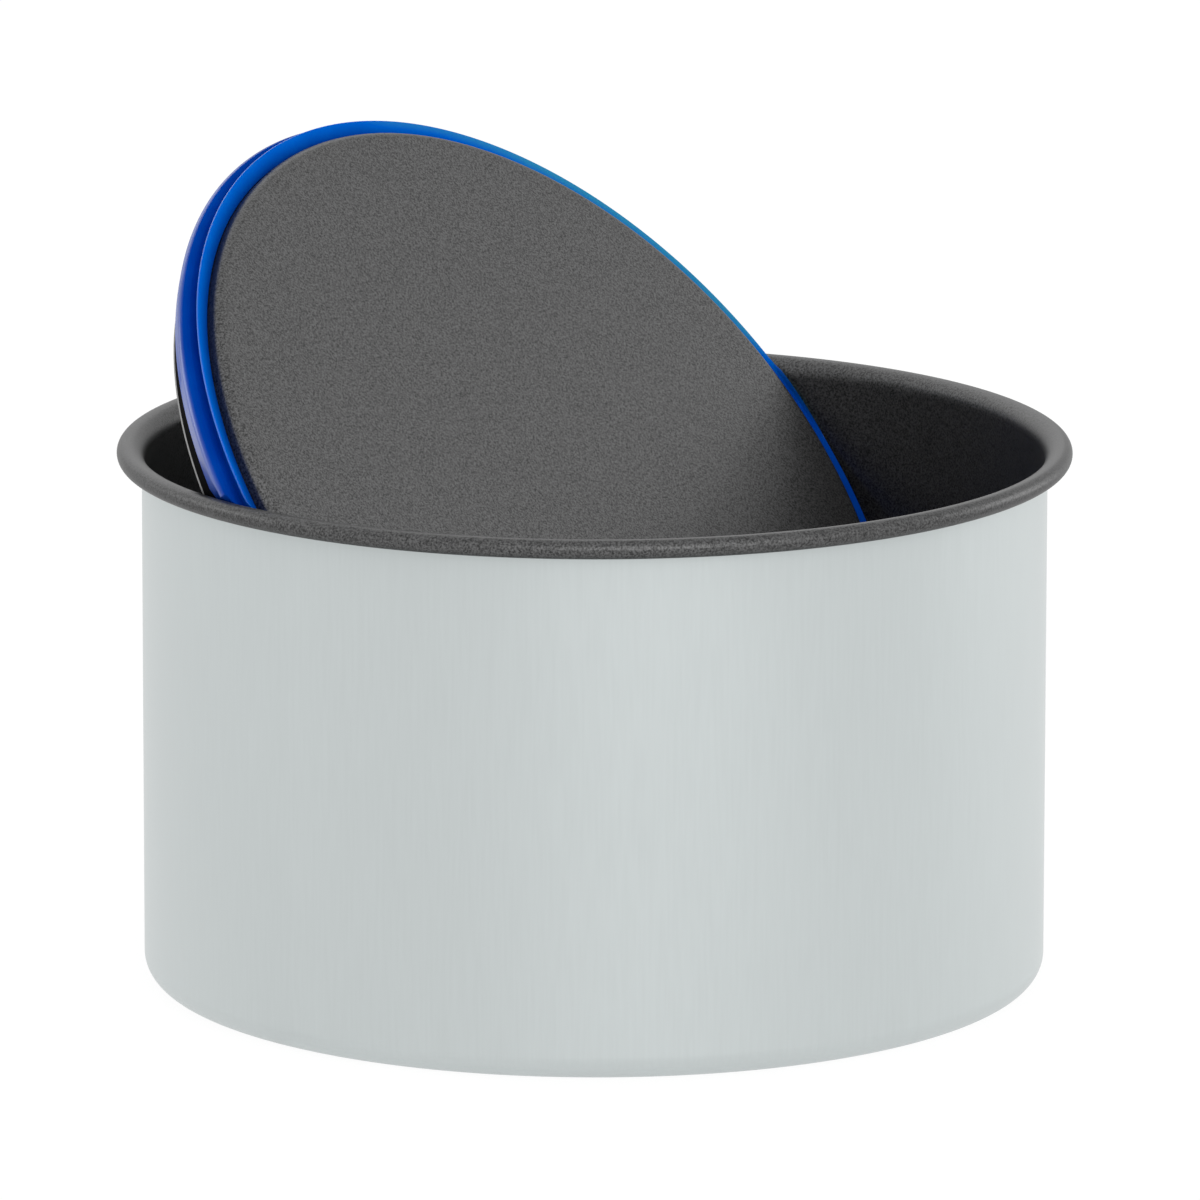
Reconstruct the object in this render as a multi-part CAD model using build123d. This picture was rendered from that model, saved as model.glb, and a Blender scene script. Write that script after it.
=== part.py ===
from build123d import *
from math import radians, sin, sqrt
import os

# Round deep cake tin with a push-up base.
# The base is drawn as it lies in the tin when it is not in use: tilted across the mouth,
# with its cut edge and its soft seal wedged against the wall.
# Millimetres, +Z up. The origin is the middle of the tin's foot, on the tin's axis.

# Tin: one drawn sheet with a rolled rim at the top and a narrow ledge at the bottom
tin_inner_radius = 90.0
tin_height = 109.2
tin_sheet = 0.6
foot_bend_radius = 5.0
ledge_width = 11.0
rim_flare_radius = 3.66
rim_bead_radius = 1.92

# Base plate: a shallow dish, face up, with a channel round its skirt for the seal
plate_clearance = 4.0
plate_depth = 14.8
plate_sheet = 0.7
plate_edge_radius = 2.0
channel_top_drop = 4.5
channel_width = 5.5
channel_depth = 1.3
channel_slope_run = 0.9
channel_bend_radius = 0.8

# Seal: a soft ring with a thin upper lip and a broad lower lip
seal_slack = 0.15
upper_lip_shortfall = 0.45
upper_lip_drop = 2.0
upper_lip_root_drop = 4.2
upper_lip_tip = 0.5
upper_lip_tip_round = 0.2
valley_web = 1.3
valley_drop = 4.05
valley_width = 0.8
valley_round = 0.3
lower_lip_squeeze = 1.75
lower_lip_middle_drop = 5.55
lower_lip_shoulder_inset = 2.4
lower_lip_top_drop = 4.9
lower_lip_bottom_drop = 9.8
lower_lip_shoulder_round = 0.5
lower_lip_crown_radius = 1.5

# Lie of the base in the tin
base_tilt = 49.5
base_face_below_rim = 10.4
base_turn = 143.9
wall_gap = 0.3

# Sizes that follow from those above
tin_wall_radius = tin_inner_radius + tin_sheet / 2
push_hole_radius = tin_inner_radius - ledge_width
flare_start = tin_height - rim_flare_radius
crest_radius = tin_inner_radius + rim_flare_radius
plate_radius = tin_inner_radius - plate_clearance
skirt_radius = plate_radius - plate_sheet / 2
channel_floor_radius = skirt_radius - channel_depth
channel_bottom_drop = channel_top_drop + channel_width
upper_lip_radius = tin_inner_radius - upper_lip_shortfall
valley_radius = plate_radius + valley_web
lower_lip_radius = tin_inner_radius + lower_lip_squeeze
lower_lip_shoulder_radius = lower_lip_radius - lower_lip_shoulder_inset
free_radius = tin_inner_radius - wall_gap
base_face_height = tin_height - base_face_below_rim


def ring(section):
    """A section drawn in radius and height, turned about the upright axis."""
    return revolve(Plane.XZ * section, Axis.Z)


def tin_section():
    """Foot ledge, bend, wall, outward flare and rolled bead, as one strip of sheet."""
    foot_bend = foot_bend_radius - tin_sheet / 2
    ledge = Line(
        (push_hole_radius, tin_sheet / 2),
        (tin_wall_radius - foot_bend, tin_sheet / 2),
    )
    bend = JernArc(ledge @ 1, ledge % 1, foot_bend, 90)
    wall = Line(bend @ 1, (tin_wall_radius, flare_start))
    flare = JernArc(wall @ 1, wall % 1, rim_flare_radius - tin_sheet / 2, -90)
    bead = JernArc(flare @ 1, flare % 1, rim_bead_radius - tin_sheet / 2, -270)
    return trace([ledge, bend, wall, flare, bead], tin_sheet)


def channel_points():
    """Middle of the sheet where it dips in to hold the seal, from the top down."""
    return [
        (skirt_radius, -channel_top_drop),
        (channel_floor_radius, -channel_top_drop - channel_slope_run),
        (channel_floor_radius, -channel_bottom_drop + channel_slope_run),
        (skirt_radius, -channel_bottom_drop),
    ]


def plate_strip(width):
    """The plate's sheet as a strip of the given width about its middle line."""
    corner = plate_edge_radius - plate_sheet / 2
    face_level = -plate_sheet / 2
    middle = FilletPolyline(
        (0, face_level),
        (skirt_radius, face_level),
        *channel_points(),
        (skirt_radius, -plate_depth),
        radius=[corner] + [channel_bend_radius] * len(channel_points()),
    )
    return trace([middle], width)


def seal_section():
    """Both lips and the root that fills the plate's channel, less the plate and its slack."""
    outline = FilletPolyline(
        (skirt_radius, -upper_lip_root_drop),
        (upper_lip_radius, -upper_lip_drop),
        (upper_lip_radius, -upper_lip_drop - upper_lip_tip),
        (valley_radius, -valley_drop),
        (valley_radius, -valley_drop - valley_width),
        (lower_lip_shoulder_radius, -lower_lip_top_drop),
        (lower_lip_radius, -lower_lip_middle_drop),
        (lower_lip_shoulder_radius, -lower_lip_bottom_drop),
        *reversed(channel_points()),
        radius=[0, upper_lip_tip_round, upper_lip_tip_round, valley_round, valley_round,
                lower_lip_shoulder_round, lower_lip_crown_radius, lower_lip_shoulder_round]
        + [0] * len(channel_points()),
        close=True,
    )
    return make_face(outline) - plate_strip(plate_sheet + 2 * seal_slack)


def lay_in_tin(shape):
    """Tilt a piece of the base and shift it so that its cut edge just clears the wall."""
    tilt = radians(base_tilt)
    edge_offset = sin(tilt) * sqrt(free_radius**2 - plate_radius**2)
    face_offset = edge_offset - plate_depth * sin(tilt)
    return Rot(0, 0, base_turn) * Pos(face_offset, 0, base_face_height) * Rot(0, -base_tilt, 0) * shape


def pressed_by_wall(shape):
    """Flatten what would reach into the wall, the flare or the bead of the tin."""
    clear_flare = rim_flare_radius + wall_gap
    start = Line((free_radius, 0), (free_radius, flare_start))
    flare = JernArc(start @ 1, start % 1, clear_flare, -90)
    outside = (crest_radius + 2 * rim_bead_radius, tin_height + wall_gap)
    border = Polyline(flare @ 1, outside, (outside[0], 0), (free_radius, 0))
    return shape - ring(make_face([start, flare, border]))


def main():
    tin_shell = ring(tin_section())
    base_plate = lay_in_tin(ring(plate_strip(plate_sheet)))
    base_seal = pressed_by_wall(lay_in_tin(ring(seal_section())))
    pieces = {"tin_shell": tin_shell, "base_plate": base_plate, "base_seal": base_seal}
    os.makedirs("parts", exist_ok=True)
    for name, piece in pieces.items():
        export_step(piece, f"parts/{name}.step")


main()
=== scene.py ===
from math import atan, cos, radians, sin, sqrt, tan

import bpy
from mathutils import Matrix, Vector


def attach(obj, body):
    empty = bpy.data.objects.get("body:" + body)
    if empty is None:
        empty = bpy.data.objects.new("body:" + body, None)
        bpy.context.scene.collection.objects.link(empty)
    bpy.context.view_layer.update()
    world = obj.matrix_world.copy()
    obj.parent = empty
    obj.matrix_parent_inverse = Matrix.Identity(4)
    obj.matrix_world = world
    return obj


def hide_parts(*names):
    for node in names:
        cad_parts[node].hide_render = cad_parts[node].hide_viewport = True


# Deep round cake tin. Its loose base, edged with a double-lipped seal, lies tilted in it.
# Metres, +Z up. The origin is the middle of the tin's foot, on the tin's axis.
#
# Each of the three pieces is one outline, which a Geometry Nodes tree turns about the axis:
# it places the outline's corners in radius and height, rounds them and turns them. The tin and
# the plate then get the thickness of their sheet. The plate and the seal are laid in the tin.

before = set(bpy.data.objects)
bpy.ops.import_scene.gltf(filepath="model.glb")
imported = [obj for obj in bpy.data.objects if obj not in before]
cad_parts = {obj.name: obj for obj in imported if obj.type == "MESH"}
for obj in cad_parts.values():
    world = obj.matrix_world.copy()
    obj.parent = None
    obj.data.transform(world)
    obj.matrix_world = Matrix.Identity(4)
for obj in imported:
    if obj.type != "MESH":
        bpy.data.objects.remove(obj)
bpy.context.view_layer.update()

MM = 0.001

# Tin: one drawn sheet with a rolled rim at the top and a narrow ledge at the bottom
TIN = {
    "Inner radius": 90.0 * MM,
    "Height": 109.2 * MM,
    "Sheet": 0.6 * MM,
    "Foot bend radius": 5.0 * MM,
    "Ledge width": 11.0 * MM,
    "Flare radius": 3.66 * MM,
    "Bead radius": 1.92 * MM,
}

# Base plate: a shallow dish, face up. Each drop is measured down from its face.
PLATE = {
    "Plate depth": 14.8 * MM,
    "Plate edge radius": 2.0 * MM,
    "Channel bend": 0.8 * MM,
    "Bare band": 0.4 * MM,
}

# The plate's skirt and the channel in it, which the seal's root follows
SKIRT = {
    "Plate radius": 86.0 * MM,
    "Plate sheet": 0.7 * MM,
    "Channel top drop": 4.5 * MM,
    "Channel width": 5.5 * MM,
    "Channel depth": 1.3 * MM,
    "Channel slope run": 0.9 * MM,
}

# Seal: a soft ring with a thin upper lip and a broad lower lip
SEAL = {
    "Slack": 0.15 * MM,
    "Upper lip radius": 89.55 * MM,
    "Upper lip drop": 2.0 * MM,
    "Upper lip root drop": 3.45 * MM,
    "Upper lip tip": 0.5 * MM,
    "Upper lip tip round": 0.2 * MM,
    "Valley radius": 87.3 * MM,
    "Valley drop": 4.05 * MM,
    "Valley width": 0.8 * MM,
    "Valley round": 0.3 * MM,
    "Lower lip radius": 91.75 * MM,
    "Lower lip shoulder inset": 2.4 * MM,
    "Lower lip top drop": 4.9 * MM,
    "Lower lip middle drop": 5.55 * MM,
    "Lower lip bottom drop": 9.8 * MM,
    "Lower lip root drop": 9.98 * MM,
    "Lower lip shoulder round": 0.5 * MM,
    "Lower lip crown radius": 1.5 * MM,
}

# How the wall presses the lips: the gap that stays, how far from it a lip starts to give,
# and how much the upper one rises for each millimetre that it is pressed in
PRESS = {
    "Wall gap": 0.3 * MM,
    "Lip give": 0.4 * MM,
    "Lip rise": 1.2,
}

# Over what height the lower lip's flank turns glossy, and over what height about the rim's top the
# painted light on the upper lip fades in
SEAL_BLENDS = {
    "Flank blend": 0.9 * MM,
    "Painted glow blend": 10.0 * MM,
}

# The side of the seal where the thin lip's painted light is strongest: a lighter blue painted on
# for light shining through it
SEAL_PAINTED_GLOW_SIDE = radians(-76.7)

# Lie of the base in the tin
BASE_TILT = radians(49.5)
BASE_TURN = radians(143.9)
BASE_FACE_HEIGHT = 98.8 * MM

# Fineness of the turned meshes. A flat margin is a short straight beside a bend.
STEPS_AROUND = 288
STEPS_IN_A_ROUNDING = 16
FLAT_MARGIN = 0.25 * MM
WELD_DISTANCE = 0.002 * MM
SHARP_EDGE = radians(35)

# Where the seal's long flats get lines in between, so that they can follow the flare
LIP_TOP_SHARES = (0.2, 0.4, 0.6, 0.8)
LIP_UNDER_SHARES = (0.25, 0.5, 0.75)
FLANK_SHARES = (0.45, 0.6, 0.75)


# Trees

class Amount:
    """A value inside a tree. Sums, products and the like of values become Math nodes."""

    def __init__(self, tree, source):
        self.tree = tree
        self.source = source

    def joined(self, operation, first, second):
        node = add(self.tree, "ShaderNodeMath", {"operation": operation})
        plug(self.tree, node.inputs[0], first)
        plug(self.tree, node.inputs[1], second)
        return Amount(self.tree, node.outputs[0])

    def __add__(self, other):
        return self.joined("ADD", self, other)

    def __sub__(self, other):
        return self.joined("SUBTRACT", self, other)

    def __mul__(self, other):
        return self.joined("MULTIPLY", self, other)

    def __truediv__(self, other):
        return self.joined("DIVIDE", self, other)

    def __pow__(self, other):
        return self.joined("POWER", self, other)

    def __neg__(self):
        return self.joined("SUBTRACT", 0.0, self)

    def at_most(self, other):
        return self.joined("MINIMUM", self, other)

    def at_least(self, other):
        return self.joined("MAXIMUM", self, other)

    def above(self, other):
        return self.joined("GREATER_THAN", self, other)

    def as_share(self):
        return self.at_least(0.0).at_most(1.0)


def plug(tree, socket, value):
    """Link an amount or a socket into a socket, or write a plain value there."""
    if isinstance(value, Amount):
        value = value.source
    if isinstance(value, bpy.types.NodeSocket):
        tree.links.new(value, socket)
    else:
        socket.default_value = value


def fill(tree, node, **inputs):
    """Fill a node's inputs, by the sockets' names with a low line for each space."""
    for name, value in inputs.items():
        plug(tree, node.inputs[name.replace("_", " ")], value)


def add(tree, kind, settings=None, **inputs):
    """A node with its settings made and its inputs filled."""
    node = tree.nodes.new(kind)
    for name, value in (settings or {}).items():
        setattr(node, name, value)
    fill(tree, node, **inputs)
    return node


def new_tree(name, sizes):
    """An empty tree with one named input for each size, and those inputs as amounts."""
    tree = bpy.data.node_groups.new(name, "GeometryNodeTree")
    for label in sizes:
        tree.interface.new_socket(label, in_out="INPUT", socket_type="NodeSocketFloat")
    tree.interface.new_socket("Geometry", in_out="OUTPUT", socket_type="NodeSocketGeometry")
    entry = tree.nodes.new("NodeGroupInput")
    return tree, {label: Amount(tree, entry.outputs[label]) for label in sizes}


def by_corner(tree, values):
    """A field that gives each corner its own value."""
    switch = add(tree, "GeometryNodeIndexSwitch", {"data_type": "FLOAT"})
    while len(switch.index_switch_items) < len(values):
        switch.index_switch_items.new()
    plug(tree, switch.inputs["Index"], add(tree, "GeometryNodeInputIndex").outputs[0])
    for number, value in enumerate(values):
        plug(tree, switch.inputs[str(number)], value)
    return Amount(tree, switch.outputs[0])


def between(first, last, shares):
    """Corners on the straight line from one corner to another, at shares of its length."""
    return [(first[0] + (last[0] - first[0]) * share,
             first[1] + (last[1] - first[1]) * share,
             0.0) for share in shares]


def turned(tree, corners, closed):
    """The line through the corners, each (radius, height, rounding), turned about the axis."""
    radius, height, rounding = (by_corner(tree, column) for column in zip(*corners))
    place = add(tree, "ShaderNodeCombineXYZ", X=radius - TIN["Inner radius"], Y=-height)
    points = add(tree, "GeometryNodePoints", Count=len(corners), Position=place.outputs[0])
    noted = noted_points(tree, points.outputs[0], "rounding", rounding)
    line = add(tree, "GeometryNodePointsToCurves", Points=noted)
    loop = add(tree, "GeometryNodeSetSplineCyclic", Geometry=line.outputs[0], Cyclic=closed)
    rounded = add(tree, "GeometryNodeFilletCurve", {"mode": "POLY"}, Curve=loop.outputs[0],
                  Count=STEPS_IN_A_ROUNDING, Radius=stored(tree, "rounding", "FLOAT"),
                  Limit_Radius=True)
    path = add(tree, "GeometryNodeCurvePrimitiveCircle", {"mode": "RADIUS"},
               Resolution=STEPS_AROUND, Radius=TIN["Inner radius"])
    upright = add(tree, "GeometryNodeSetCurveNormal", {"mode": "Z_UP"}, Curve=path.outputs[0])
    skin = add(tree, "GeometryNodeCurveToMesh", Curve=upright.outputs[0],
               Profile_Curve=rounded.outputs[0])
    return add(tree, "GeometryNodeMergeByDistance", Geometry=skin.outputs[0],
               Distance=WELD_DISTANCE).outputs[0]


def sheet_of(tree, skin, thickness):
    """The skin made into sheet, half its thickness to each side.

    Gives the closed sheet, the side that the skin's faces look at, and the cut edges.
    """
    looks = add(tree, "GeometryNodeInputNormal").outputs[0]
    half_back = add(tree, "ShaderNodeVectorMath", {"operation": "SCALE"}, Vector=looks,
                    Scale=thickness * -0.5)
    back = add(tree, "GeometryNodeSetPosition", Geometry=skin, Offset=half_back.outputs[0])
    front = add(tree, "GeometryNodeExtrudeMesh", {"mode": "FACES"}, Mesh=back.outputs[0],
                Offset_Scale=thickness, Individual=False)
    turned_back = add(tree, "GeometryNodeFlipFaces", Mesh=back.outputs[0])
    both = add(tree, "GeometryNodeJoinGeometry")
    tree.links.new(front.outputs["Mesh"], both.inputs[0])
    tree.links.new(turned_back.outputs[0], both.inputs[0])
    closed = add(tree, "GeometryNodeMergeByDistance", Geometry=both.outputs[0],
                 Distance=WELD_DISTANCE)
    return closed.outputs[0], front.outputs["Top"], front.outputs["Side"]


def own_place(tree):
    """How far across, along and up each point or face lies, at the step that reads it."""
    spot = add(tree, "GeometryNodeInputPosition").outputs[0]
    split = add(tree, "ShaderNodeSeparateXYZ", Vector=spot)
    return [Amount(tree, split.outputs[axis]) for axis in "XYZ"]


def from_axis(across, along):
    """The distance from the upright axis."""
    return (across ** 2.0 + along ** 2.0) ** 0.5


def noted_points(tree, piece, name, amount):
    """Note an amount on each point, under a name."""
    return add(tree, "GeometryNodeStoreNamedAttribute", {"data_type": "FLOAT", "domain": "POINT"},
               Geometry=piece, Name=name, Value=amount).outputs[0]


def noted_faces(tree, piece, name, where):
    """Note on each face whether it lies in a place, under a name."""
    return add(tree, "GeometryNodeStoreNamedAttribute", {"data_type": "BOOLEAN", "domain": "FACE"},
               Geometry=piece, Name=name, Value=where).outputs[0]


def stored(tree, name, kind):
    """What was noted under a name."""
    return add(tree, "GeometryNodeInputNamedAttribute", {"data_type": kind}, Name=name).outputs[0]


def lean_and_turn(tree, sizes):
    """The two turns that lay the base in the tin."""
    lean = add(tree, "ShaderNodeCombineXYZ", Y=-sizes["Base tilt"])
    turn = add(tree, "ShaderNodeCombineXYZ", Z=sizes["Base turn"])
    return [add(tree, "FunctionNodeEulerToRotation", Euler=angles.outputs[0]).outputs[0]
            for angles in (lean, turn)]


def laid_in_tin(tree, piece, sizes):
    """Tilt a piece of the base, shift it to its place, and turn it in the tin."""
    lean, turn = lean_and_turn(tree, sizes)
    place = add(tree, "ShaderNodeCombineXYZ", X=sizes["Base aside"], Z=sizes["Base face height"])
    leant = add(tree, "GeometryNodeTransform", Geometry=piece, Translation=place.outputs[0],
                Rotation=lean)
    return add(tree, "GeometryNodeTransform", Geometry=leant.outputs[0], Rotation=turn).outputs[0]


def pressed_by_wall(tree, piece, sizes):
    """Press what would reach into the wall or the flare back inwards, the more the further."""
    across, along, height = own_place(tree)
    radius = from_axis(across, along)
    flare_start = sizes["Height"] - sizes["Flare radius"]
    clear_flare = sizes["Flare radius"] + sizes["Wall gap"]
    climb = (height - flare_start).at_least(0.0).at_most(clear_flare)
    opening = clear_flare - (clear_flare ** 2.0 - climb ** 2.0) ** 0.5
    free = sizes["Inner radius"] - sizes["Wall gap"] + opening
    start = free - sizes["Lip give"]
    excess = (radius - start).at_least(0.0)
    share = excess / (excess + sizes["Lip give"])
    pressed = radius.at_most(start) + sizes["Lip give"] * share
    kept = pressed / radius
    inward = add(tree, "ShaderNodeCombineXYZ", X=across * kept, Y=along * kept, Z=height)
    bend = Amount(tree, stored(tree, "lip_bend", "FLOAT"))
    rise = (radius - pressed) * bend * sizes["Lip rise"]
    lifted = add(tree, "ShaderNodeCombineXYZ", Z=rise).outputs[0]
    for turn in lean_and_turn(tree, sizes):
        lifted = add(tree, "FunctionNodeRotateVector", Vector=lifted, Rotation=turn).outputs[0]
    return add(tree, "GeometryNodeSetPosition", Geometry=piece, Position=inward.outputs[0],
               Offset=lifted).outputs[0]


def close_tree(tree, piece, finishes):
    """Smooth the faces, keep the sharp edges, and give each finish to its faces."""
    smooth = add(tree, "GeometryNodeSetShadeSmooth", {"domain": "FACE"}, Geometry=piece,
                 Shade_Smooth=True)
    bend = Amount(tree, add(tree, "GeometryNodeInputMeshEdgeAngle").outputs["Unsigned Angle"])
    crisp = add(tree, "GeometryNodeSetShadeSmooth", {"domain": "EDGE"},
                Geometry=smooth.outputs[0], Selection=bend.above(SHARP_EDGE),
                Shade_Smooth=False)
    last = add(tree, "GeometryNodeRealizeInstances", Geometry=crisp.outputs[0])
    for finish, where in finishes:
        last = add(tree, "GeometryNodeSetMaterial", Geometry=last.outputs[0], Material=finish)
        if where is not None:
            tree.links.new(where, last.inputs["Selection"])
    exit_node = tree.nodes.new("NodeGroupOutput")
    tree.links.new(last.outputs[0], exit_node.inputs[0])


def made_by(tree, sizes, name):
    """A plain mesh object made by the tree at the given sizes. What held the tree goes."""
    holder = bpy.data.objects.new(name + "_tree", bpy.data.meshes.new(name + "_start"))
    bpy.context.scene.collection.objects.link(holder)
    modifier = holder.modifiers.new("tree", "NODES")
    modifier.node_group = tree
    sockets = {item.name: item.identifier for item in tree.interface.items_tree
               if item.in_out == "INPUT"}
    for label, value in sizes.items():
        modifier[sockets[label]] = value
    graph = bpy.context.evaluated_depsgraph_get()
    mesh = bpy.data.meshes.new_from_object(holder.evaluated_get(graph))
    bpy.data.objects.remove(holder)
    mesh.name = name
    piece = bpy.data.objects.new(name, mesh)
    bpy.context.scene.collection.objects.link(piece)
    return piece


# Finishes

# Grains: how many to the metre, how they are drawn out along each axis, how many finer layers
# they have, and how much each of these weighs
EVENLY = (1.0, 1.0, 1.0)
BRUSHING = (1500.0, (1.0, 1.0, 0.05), 3.0, 0.6)
CLOUDS = (25.0, (1.0, 1.0, 0.5), 2.0, 0.5)
SPECKLE = (2400.0, EVENLY, 2.0, 0.6)
PATCHES = (300.0, EVENLY, 2.0, 0.5)
SKIRT_SPECKLE = (1500.0, EVENLY, 2.0, 0.5)
DRAG = (1500.0, (1.0, 1.0, 0.3), 2.0, 0.5)
HAZE = (90.0, EVENLY, 2.0, 0.5)

# The stretch of the speckle over which its levels change
SPECKLE_RANGE = (0.35, 0.65)

# How much each grain weighs in the tone: brushing and clouds, speckle and patches, haze
PALE_MIX = (0.7, 0.3)
COAT_MIX = (0.9, 0.1)
HAZE_MIX = 0.1

# Tones over the grain, each (position, (red, green, blue))
PALE_TONES = ((0.0, (0.548, 0.587, 0.587)), (1.0, (0.575, 0.616, 0.616)))
COAT_TONES = ((0.0, (0.002, 0.002, 0.0021)), (1.0, (0.020, 0.020, 0.021)))
# The skirt's near-black is painted shade on the same coat, below the seal
SKIRT_SHADE_TONES = ((0.3, (0.001, 0.001, 0.0011)), (0.7, (0.003, 0.003, 0.0033)))
BARE_TONES = ((0.3, (0.14, 0.14, 0.14)), (0.7, (0.24, 0.24, 0.24)))
# The haze moves the blue over the darkest tenth alone; the lighter stops are painted light on the
# thin lip, for light shining through it
BLUE_AND_PAINTED_GLOW_TONES = ((0.0, (0.0004, 0.052, 0.390)), (0.5, (0.0003, 0.138, 0.700)),
              (1.0, (0.033, 0.295, 0.545)))

# Roughness over the grain, from its low to its high places
PALE_ROUGHNESS = (0.36, 0.42)
COAT_ROUGHNESS = (0.36, 0.48)
SKIRT_ROUGHNESS = (0.40, 0.50)
BARE_ROUGHNESS = (0.32, 0.48)
BLUE_ROUGHNESS = (0.18, 0.24)

# How metallic the anodised sheet and its bare edges are
PALE_METAL = 0.7
BARE_METAL = 1.0

# Reliefs, each (depth, strength)
BRUSHING_RELIEF = (0.003 * MM, 0.3)
SPECKLE_RELIEF = (0.02 * MM, 0.6)

# Gloss of the coats, from the dull to the bright places of the speckle
TIN_COAT_GLOSS = (0.40, 1.30)
PLATE_COAT_GLOSS = (0.42, 1.60)
# The skirt's low gloss keeps its painted shade black
SKIRT_GLOSS = 0.02

# Gloss over the slant to the eye, each (gloss at the start, gloss at the end, start, end)
COAT_SHEEN = (1.2, 0.54, 0.10, 0.75)
FLANK_SHEEN = (1.3, 0.02, 0.68, 0.82)

# The thin lip, in the same order: gloss near its tip, and the painted light towards its brightest
# side, a lighter blue painted into its colour for light shining through it. The painted light
# grows from its root to full a little before the tip.
TIP_SHEEN = (0.0, 0.5, 0.95, 0.99)
SIDE_PAINTED_GLOW = (0.45, 0.95, 0.33, 0.83)
PAINTED_GLOW_GROWTH = 1.2

# Light that spreads under the silicone's skin
UNDER_SKIN_WEIGHT = 0.3
UNDER_SKIN_COLOURS = (0.1, 1.0, 1.0)
UNDER_SKIN_DEPTH = 0.4 * MM


def new_finish(name):
    """A new material, its tree and its shader."""
    material = bpy.data.materials.new(name)
    material.use_nodes = True
    return material, material.node_tree, material.node_tree.nodes["Principled BSDF"]


def grain(tree, fineness, stretch, detail, weight):
    """Noise fixed to the piece."""
    where = add(tree, "ShaderNodeTexCoord").outputs["Object"]
    scaled = add(tree, "ShaderNodeMapping", Vector=where, Scale=stretch)
    noise = add(tree, "ShaderNodeTexNoise", Vector=scaled.outputs[0], Scale=fineness,
                Detail=detail, Roughness=weight)
    return Amount(tree, noise.outputs["Fac"])


def levels(tree, amount, low, high, from_low=0.3, from_high=0.7):
    """Stretch an amount to run from low to high, over the middle of a grain if not told."""
    node = add(tree, "ShaderNodeMapRange", Value=amount, From_Min=from_low, From_Max=from_high,
               To_Min=low, To_Max=high)
    return Amount(tree, node.outputs["Result"])


def tones(tree, amount, stops):
    """Colours between stops, each (position, (red, green, blue))."""
    ramp = add(tree, "ShaderNodeValToRGB", Fac=amount)
    scale = ramp.color_ramp.elements
    while len(scale) < len(stops):
        scale.new(0.5)
    for element, (position, colour) in zip(scale, stops):
        element.position = position
        element.color = (*colour, 1.0)
    return ramp.outputs["Color"]


def relief(tree, amount, depth, strength):
    """A bump of the given depth."""
    return add(tree, "ShaderNodeBump", Height=amount, Distance=depth,
               Strength=strength).outputs["Normal"]


def slant_of(tree):
    """How far each spot turns from facing the eye, for gloss alone."""
    return add(tree, "ShaderNodeLayerWeight", Blend=0.5).outputs["Facing"]


def pale_anodised():
    """The tin's outside: satin anodised aluminium with fine upright brushing."""
    material, tree, shader = new_finish("pale_anodised")
    brushing = grain(tree, *BRUSHING)
    mixed = (levels(tree, brushing, 0.0, PALE_MIX[0])
             + levels(tree, grain(tree, *CLOUDS), 0.0, PALE_MIX[1]))
    fill(tree, shader,
         Base_Color=tones(tree, mixed, PALE_TONES),
         Metallic=PALE_METAL,
         Roughness=levels(tree, brushing, *PALE_ROUGHNESS),
         Normal=relief(tree, brushing, *BRUSHING_RELIEF))
    return material


def dark_nonstick(name, gloss):
    """The speckled dark coat; its gloss runs from dull to bright over the speckle."""
    material, tree, shader = new_finish(name)
    speckle = grain(tree, *SPECKLE)
    mixed = (levels(tree, speckle, 0.0, COAT_MIX[0], *SPECKLE_RANGE)
             + levels(tree, grain(tree, *PATCHES), 0.0, COAT_MIX[1]))
    sheen = levels(tree, speckle, *gloss, *SPECKLE_RANGE)
    fill(tree, shader,
         Base_Color=tones(tree, mixed, COAT_TONES),
         Roughness=levels(tree, speckle, *COAT_ROUGHNESS),
         Specular_IOR_Level=sheen * levels(tree, slant_of(tree), *COAT_SHEEN),
         Normal=relief(tree, speckle, *SPECKLE_RELIEF))
    return material


def painted_shade_skirt():
    """The coat below the seal, painted near-black and nearly without gloss: painted shade."""
    material, tree, shader = new_finish("painted_shade_skirt")
    speckle = grain(tree, *SKIRT_SPECKLE)
    fill(tree, shader,
         Base_Color=tones(tree, speckle, SKIRT_SHADE_TONES),
         Roughness=levels(tree, speckle, *SKIRT_ROUGHNESS),
         Specular_IOR_Level=SKIRT_GLOSS)
    return material


def bare_edge():
    """The cut and trimmed edges of the sheet, where the bare aluminium shows."""
    material, tree, shader = new_finish("bare_edge")
    drag = grain(tree, *DRAG)
    fill(tree, shader,
         Base_Color=tones(tree, drag, BARE_TONES),
         Metallic=BARE_METAL,
         Roughness=levels(tree, drag, *BARE_ROUGHNESS))
    return material


def blue_silicone():
    """The seal: smooth moulded silicone with some light under its skin; its thin lip gets painted
    light, a lighter blue for light shining through it.
    """
    material, tree, shader = new_finish("blue_silicone")
    haze = grain(tree, *HAZE)
    thin, flank, lit, clear = (
        Amount(tree, add(tree, "ShaderNodeAttribute", {"attribute_name": name}).outputs["Fac"])
        for name in ("lip_bend", "lip_flank", "lip_painted_glow_height", "lip_painted_glow_side"))
    # Painted light: a lighter blue where the thin lip stands above the rim, strongest on one side,
    # for light shining through it
    through_light_paint = (thin * PAINTED_GLOW_GROWTH).at_most(1.0) * lit * levels(tree, clear, *SIDE_PAINTED_GLOW)
    gloss = flank * levels(tree, slant_of(tree), *FLANK_SHEEN) + levels(tree, thin, *TIP_SHEEN)
    fill(tree, shader,
         Base_Color=tones(tree, levels(tree, haze, 0.0, HAZE_MIX) + through_light_paint, BLUE_AND_PAINTED_GLOW_TONES),
         Roughness=levels(tree, haze, *BLUE_ROUGHNESS),
         Specular_IOR_Level=gloss,
         Subsurface_Weight=UNDER_SKIN_WEIGHT,
         Subsurface_Radius=UNDER_SKIN_COLOURS,
         Subsurface_Scale=UNDER_SKIN_DEPTH)
    return material


# Pieces

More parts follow.
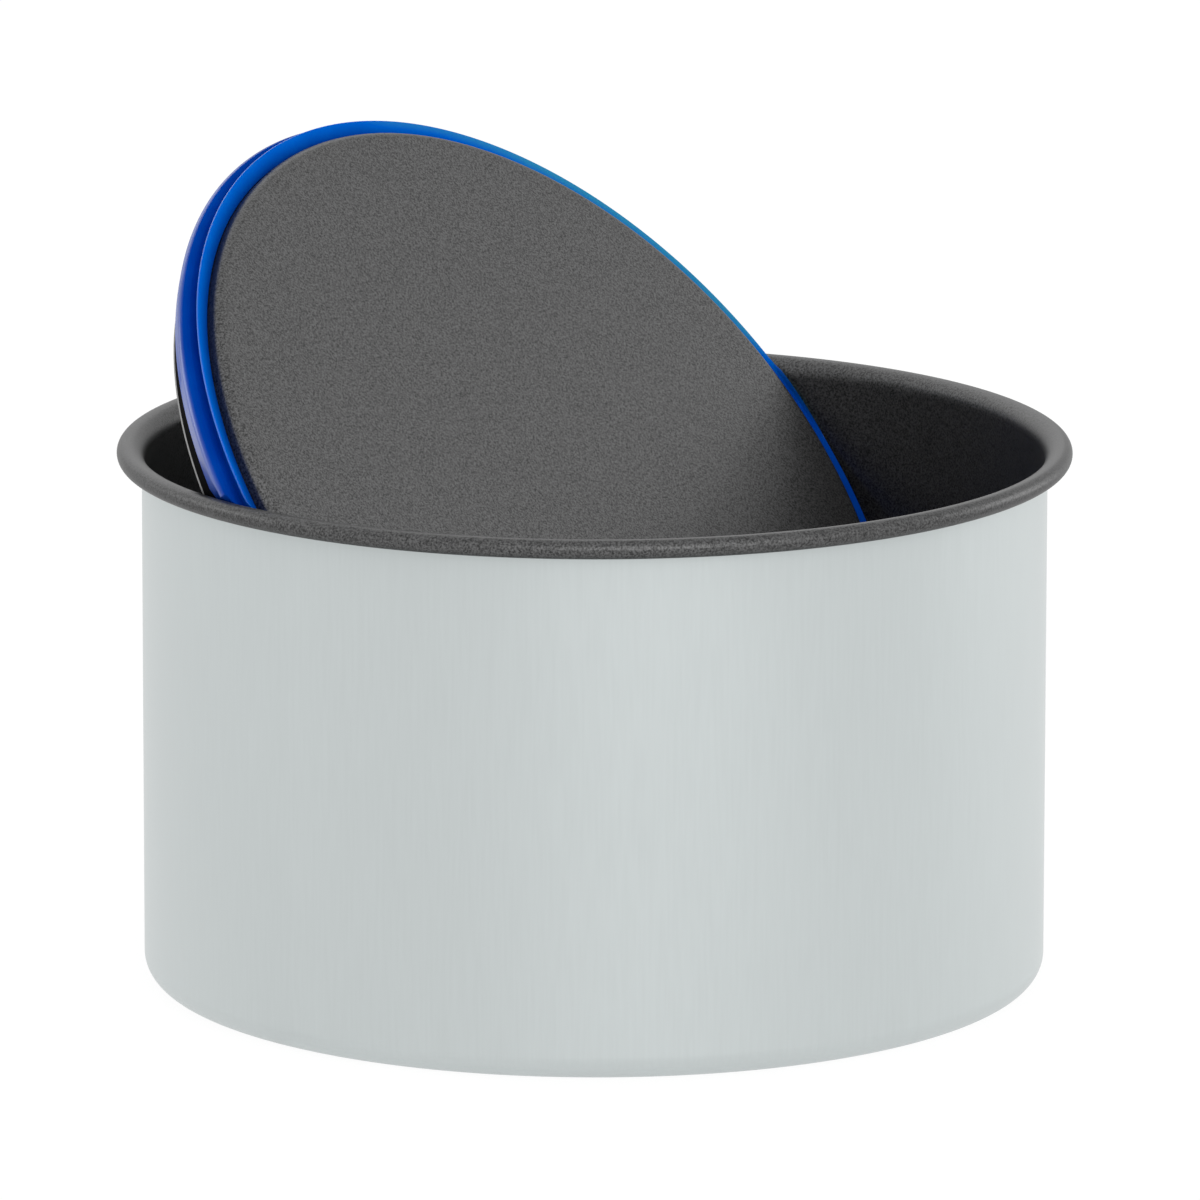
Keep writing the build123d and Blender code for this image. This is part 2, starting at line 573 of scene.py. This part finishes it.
def tin_body(coated, pale, bare):
    """Foot ledge, bend, wall, outward flare and rolled bead, as one strip of sheet."""
    sizes = {**TIN, "Flat margin": FLAT_MARGIN}
    tree, s = new_tree("tin_outline", sizes)
    half = s["Sheet"] * 0.5
    hole = s["Inner radius"] - s["Ledge width"]
    wall = s["Inner radius"] + half
    foot_bend = s["Foot bend radius"] - half
    top = s["Height"] - half
    flare_start = s["Height"] - s["Flare radius"]
    crest = s["Inner radius"] + s["Flare radius"]
    bead = s["Bead radius"] - half
    roll_middle = s["Height"] - s["Bead radius"]
    roll_bottom = roll_middle - bead
    skin = turned(tree, [
        (hole, half, 0.0),
        (wall - foot_bend - s["Flat margin"], half, 0.0),
        (wall, half, foot_bend),
        (wall, half + foot_bend + s["Flat margin"], 0.0),
        (wall, flare_start - s["Flat margin"], 0.0),
        (wall, top, s["Flare radius"] - half),
        (crest + bead, top, bead),
        (crest + bead, roll_bottom, bead),
        (crest - bead, roll_bottom, bead),
        (crest - bead, roll_middle, 0.0),
    ], False)
    sheet, inside, cut = sheet_of(tree, skin, s["Sheet"])
    close_tree(tree, sheet, [(pale, None), (coated, inside), (bare, cut)])
    return made_by(tree, sizes, "tin_body")


def channel_corners(s):
    """Middle of the plate's sheet where it dips in to hold the seal, from the top down."""
    skirt = s["Plate radius"] - s["Plate sheet"] * 0.5
    floor = skirt - s["Channel depth"]
    top = -s["Channel top drop"]
    bottom = top - s["Channel width"]
    slope = s["Channel slope run"]
    return [(skirt, top), (floor, top - slope), (floor, bottom + slope), (skirt, bottom)]


def lie_sizes():
    """How the base lies, shifted so that its cut edge just clears the wall on both sides."""
    free_radius = TIN["Inner radius"] - PRESS["Wall gap"]
    edge_offset = sin(BASE_TILT) * sqrt(free_radius**2 - SKIRT["Plate radius"]**2)
    return {
        "Base aside": edge_offset - PLATE["Plate depth"] * sin(BASE_TILT),
        "Base face height": BASE_FACE_HEIGHT,
        "Base tilt": BASE_TILT,
        "Base turn": BASE_TURN,
    }


def base_plate_piece(coated, skirt_shade_paint, pale, bare):
    """The base: a flat face, a rounded edge and a short skirt with the seal's channel."""
    sizes = {**SKIRT, **PLATE, **lie_sizes(), "Flat margin": FLAT_MARGIN}
    tree, s = new_tree("plate_outline", sizes)
    half = s["Plate sheet"] * 0.5
    skirt = s["Plate radius"] - half
    edge = s["Plate edge radius"] - half
    channel = channel_corners(s)
    channel_bottom = channel[-1][1]
    bare_top = s["Bare band"] - s["Plate depth"]
    skin = turned(tree, [
        (0.0, -half, 0.0),
        (skirt - edge - s["Flat margin"], -half, 0.0),
        (skirt, -half, edge),
        *((radius, height, s["Channel bend"]) for radius, height in channel),
        (skirt, channel_bottom - s["Channel bend"], 0.0),
        (skirt, bare_top, 0.0),
        (skirt, -s["Plate depth"], 0.0),
    ], False)
    sheet, face, cut = sheet_of(tree, skin, s["Plate sheet"])
    underside = add(tree, "FunctionNodeBooleanMath", {"operation": "NOR"})
    tree.links.new(face, underside.inputs[0])
    tree.links.new(cut, underside.inputs[1])
    height = own_place(tree)[2]
    # Faces below the seal get the painted shade
    below_seal = (channel_bottom + s["Channel bend"]).above(height)
    noted = noted_faces(tree, sheet, "below_seal", below_seal)
    noted = noted_faces(tree, noted, "trimmed", bare_top.above(height))
    laid = laid_in_tin(tree, noted, s)
    close_tree(tree, laid, [
        (coated, None),
        (skirt_shade_paint, stored(tree, "below_seal", "BOOLEAN")),
        (bare, stored(tree, "trimmed", "BOOLEAN")),
        (bare, cut),
        (pale, underside.outputs[0]),
    ])
    return made_by(tree, sizes, "base_plate_piece")


def seal_ring(blue):
    """The soft seal: two lips and a root in the channel, pressed flat against the wall."""
    clear_of_middle = SKIRT["Plate sheet"] / 2 + SEAL["Slack"]
    slope = atan(SKIRT["Channel depth"] / SKIRT["Channel slope run"])
    sizes = {
        **SKIRT, **lie_sizes(), **SEAL, **PRESS, **SEAL_BLENDS,
        **{label: TIN[label] for label in ("Inner radius", "Height", "Flare radius")},
        "Channel mitre": clear_of_middle * tan(slope / 2),
    }
    tree, s = new_tree("seal_outline", sizes)
    clear = s["Plate sheet"] * 0.5 + s["Slack"]
    (skirt, top), (floor, upper), (_, lower), _ = channel_corners(s)
    mitre = s["Channel mitre"]
    shoulder = s["Lower lip radius"] - s["Lower lip shoulder inset"]
    tip_bottom = -s["Upper lip drop"] - s["Upper lip tip"]
    valley_bottom = -s["Valley drop"] - s["Valley width"]
    root_edge = skirt + clear - s["Slack"] * 0.5
    lip_root = (skirt + clear, -s["Upper lip root drop"], 0.0)
    lip_top = (s["Upper lip radius"], -s["Upper lip drop"], s["Upper lip tip round"])
    lip_under = (s["Upper lip radius"], tip_bottom, s["Upper lip tip round"])
    valley = (s["Valley radius"], -s["Valley drop"], s["Valley round"])
    crown = (s["Lower lip radius"], -s["Lower lip middle drop"], s["Lower lip crown radius"])
    heel = (shoulder, -s["Lower lip bottom drop"], s["Lower lip shoulder round"])
    ring = turned(tree, [
        lip_root,
        *between(lip_root, lip_top, LIP_TOP_SHARES),
        lip_top,
        lip_under,
        *between(lip_under, valley, LIP_UNDER_SHARES),
        valley,
        (s["Valley radius"], valley_bottom, s["Valley round"]),
        (shoulder, -s["Lower lip top drop"], s["Lower lip shoulder round"]),
        crown,
        *between(crown, heel, FLANK_SHARES),
        heel,
        (root_edge, -s["Lower lip root drop"], 0.0),
        (floor + clear, lower + mitre, 0.0),
        (floor + clear, upper - mitre, 0.0),
        (root_edge, top - mitre, 0.0),
    ], True)
    # How far each point lies out along the thin lip, down the broad lip's flank, and towards the
    # side with the most painted light, and, once the seal is laid in the tin, how high about the
    # rim it lies, where the painted light fades in
    across, along, height = own_place(tree)
    radius = from_axis(across, along)
    lip_width = s["Upper lip radius"] - s["Plate radius"]
    bend = ((radius - s["Plate radius"]) / lip_width).at_least(0.0)
    bend = bend * height.above(-s["Valley drop"] - s["Valley width"] * 0.5)
    flank = (-height - s["Lower lip middle drop"]) / s["Flank blend"]
    toward_painted_glow = (across * cos(SEAL_PAINTED_GLOW_SIDE) + along * sin(SEAL_PAINTED_GLOW_SIDE)) / radius
    noted = noted_points(tree, ring, "lip_bend", bend)
    noted = noted_points(tree, noted, "lip_flank", flank.as_share())
    noted = noted_points(tree, noted, "lip_painted_glow_side", toward_painted_glow)
    laid = laid_in_tin(tree, noted, s)
    lit = (height - s["Height"]) / s["Painted glow blend"] + 0.5
    laid = noted_points(tree, laid, "lip_painted_glow_height", lit.as_share())
    close_tree(tree, pressed_by_wall(tree, laid, s), [(blue, None)])
    return made_by(tree, sizes, "seal_ring")


pale = pale_anodised()
bare = bare_edge()

body = tin_body(dark_nonstick("tin_coat", TIN_COAT_GLOSS), pale, bare)
plate = base_plate_piece(dark_nonstick("plate_coat", PLATE_COAT_GLOSS), painted_shade_skirt(), pale, bare)
seal = seal_ring(blue_silicone())

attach(body, "tin")
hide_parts("tin_shell")
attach(plate, "loose_base")
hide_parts("base_plate")
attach(seal, "loose_base")
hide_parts("base_seal")


# Studio

WHITE = (1.0, 1.0, 1.0, 1.0)
DAYLIGHT = 0.6

# A pale floor, a hair below the tin's foot, that shows its shadow faintly
FLOOR_HALF_SIDE = 6.0
FLOOR_LEVEL = -0.05 * MM
FLOOR_COLOUR = (0.96, 0.96, 0.96, 1.0)
FLOOR_ROUGHNESS = 0.9
FLOOR_SHADOW_SHARE = 0.12
FLOOR_WHITE = 1.05

# Soft lamps: name, place, the point that it looks at, width, height, and power in watts
SOFT_BOXES = (
    ("front_box", (0.65, -2.2, 0.95), (0.0, 0.0, 0.06), 2.2, 1.3, 16.8),
    ("left_box", (-2.1, 0.5, 0.9), (0.0, 0.0, 0.06), 1.2, 1.2, 6.5),
    ("right_box", (2.0, 1.0, 0.5), (0.0, 0.0, 0.05), 1.2, 0.9, 9.0),
    ("back_box", (-0.6, 2.0, 1.5), (0.0, 0.0, 0.1), 2.3, 1.6, 7.5),
)

# Camera on a long lens. Its aim and its focal length are in pixels of the square frame.
CAMERA_DISTANCE = 2.6911
CAMERA_ELEVATION = radians(14.15)
CAMERA_ROLL = 0.0014
CAMERA_SENSOR = 36.0
CAMERA_CLIP = (0.1, 50.0)
FRAME_PIXELS = 1200.0
FOCAL_PIXELS = 13330.0
AIM_ASIDE_PIXELS = -5.51
AIM_ABOVE_PIXELS = 369.6


def white_where_seen(tree, lit, white):
    """A shader that is plain white to the camera and in gloss, and lit elsewhere."""
    path = add(tree, "ShaderNodeLightPath").outputs
    seen = Amount(tree, path["Is Camera Ray"]).at_least(path["Is Glossy Ray"])
    seen = seen.at_least(path["Is Transmission Ray"])
    mixed = add(tree, "ShaderNodeMixShader", Fac=seen)
    tree.links.new(lit, mixed.inputs[1])
    tree.links.new(white, mixed.inputs[2])
    return mixed.outputs[0]


def studio_world():
    """A white surround that lights the object at a plain level."""
    world = bpy.data.worlds.new("studio")
    bpy.context.scene.world = world
    world.use_nodes = True
    tree = world.node_tree
    for node in list(tree.nodes):
        tree.nodes.remove(node)
    lit = add(tree, "ShaderNodeBackground", Color=WHITE, Strength=DAYLIGHT)
    white = add(tree, "ShaderNodeBackground", Color=WHITE, Strength=1.0)
    exit_node = add(tree, "ShaderNodeOutputWorld")
    tree.links.new(white_where_seen(tree, lit.outputs[0], white.outputs[0]), exit_node.inputs[0])


def studio_floor():
    """A plain white floor that keeps a faint shadow of the tin."""
    side, level = FLOOR_HALF_SIDE, FLOOR_LEVEL
    mesh = bpy.data.meshes.new("floor")
    mesh.from_pydata([(-side, -side, level), (side, -side, level), (side, side, level),
                      (-side, side, level)], [], [(0, 1, 2, 3)])
    floor = bpy.data.objects.new("floor", mesh)
    bpy.context.scene.collection.objects.link(floor)
    material, tree, shader = new_finish("white_floor")
    fill(tree, shader, Base_Color=FLOOR_COLOUR, Roughness=FLOOR_ROUGHNESS, Specular_IOR_Level=0.0)
    white = add(tree, "ShaderNodeEmission", Color=WHITE, Strength=FLOOR_WHITE)
    faint = add(tree, "ShaderNodeMixShader", Fac=FLOOR_SHADOW_SHARE)
    tree.links.new(white.outputs[0], faint.inputs[1])
    tree.links.new(shader.outputs[0], faint.inputs[2])
    shown = white_where_seen(tree, shader.outputs[0], faint.outputs[0])
    tree.links.new(shown, tree.nodes["Material Output"].inputs["Surface"])
    mesh.materials.append(material)


def soft_box(name, place, aim, width, height, power):
    """A large soft lamp that looks at a point."""
    lamp = bpy.data.lights.new(name, "AREA")
    lamp.shape = "RECTANGLE"
    lamp.size = width
    lamp.size_y = height
    lamp.energy = power
    held = bpy.data.objects.new(name, lamp)
    held.location = place
    held.rotation_euler = (Vector(aim) - Vector(place)).to_track_quat("-Z", "Y").to_euler()
    bpy.context.scene.collection.objects.link(held)


def photo_camera():
    """The camera at the photograph's viewing angle."""
    data = bpy.data.cameras.new("photo_camera")
    data.sensor_width = CAMERA_SENSOR
    data.lens = FOCAL_PIXELS / FRAME_PIXELS * CAMERA_SENSOR
    data.clip_start, data.clip_end = CAMERA_CLIP
    camera = bpy.data.objects.new("photo_camera", data)
    bpy.context.scene.collection.objects.link(camera)
    away, up = cos(CAMERA_ELEVATION), sin(CAMERA_ELEVATION)
    level = Matrix(((1.0, 0.0, 0.0), (0.0, up, -away), (0.0, away, up)))
    pan = Matrix.Rotation(atan(AIM_ASIDE_PIXELS / FOCAL_PIXELS), 3, "Y")
    rise = Matrix.Rotation(atan(AIM_ABOVE_PIXELS / FOCAL_PIXELS), 3, "X")
    roll = Matrix.Rotation(CAMERA_ROLL, 3, "Z")
    turn = level @ (pan @ rise) @ roll
    place = (0.0, -CAMERA_DISTANCE * away, CAMERA_DISTANCE * up)
    camera.matrix_world = Matrix.Translation(place) @ turn.to_4x4()
    bpy.context.scene.camera = camera


studio_world()
studio_floor()
for box in SOFT_BOXES:
    soft_box(*box)
photo_camera()

scene = bpy.context.scene
scene.view_settings.view_transform = "Standard"
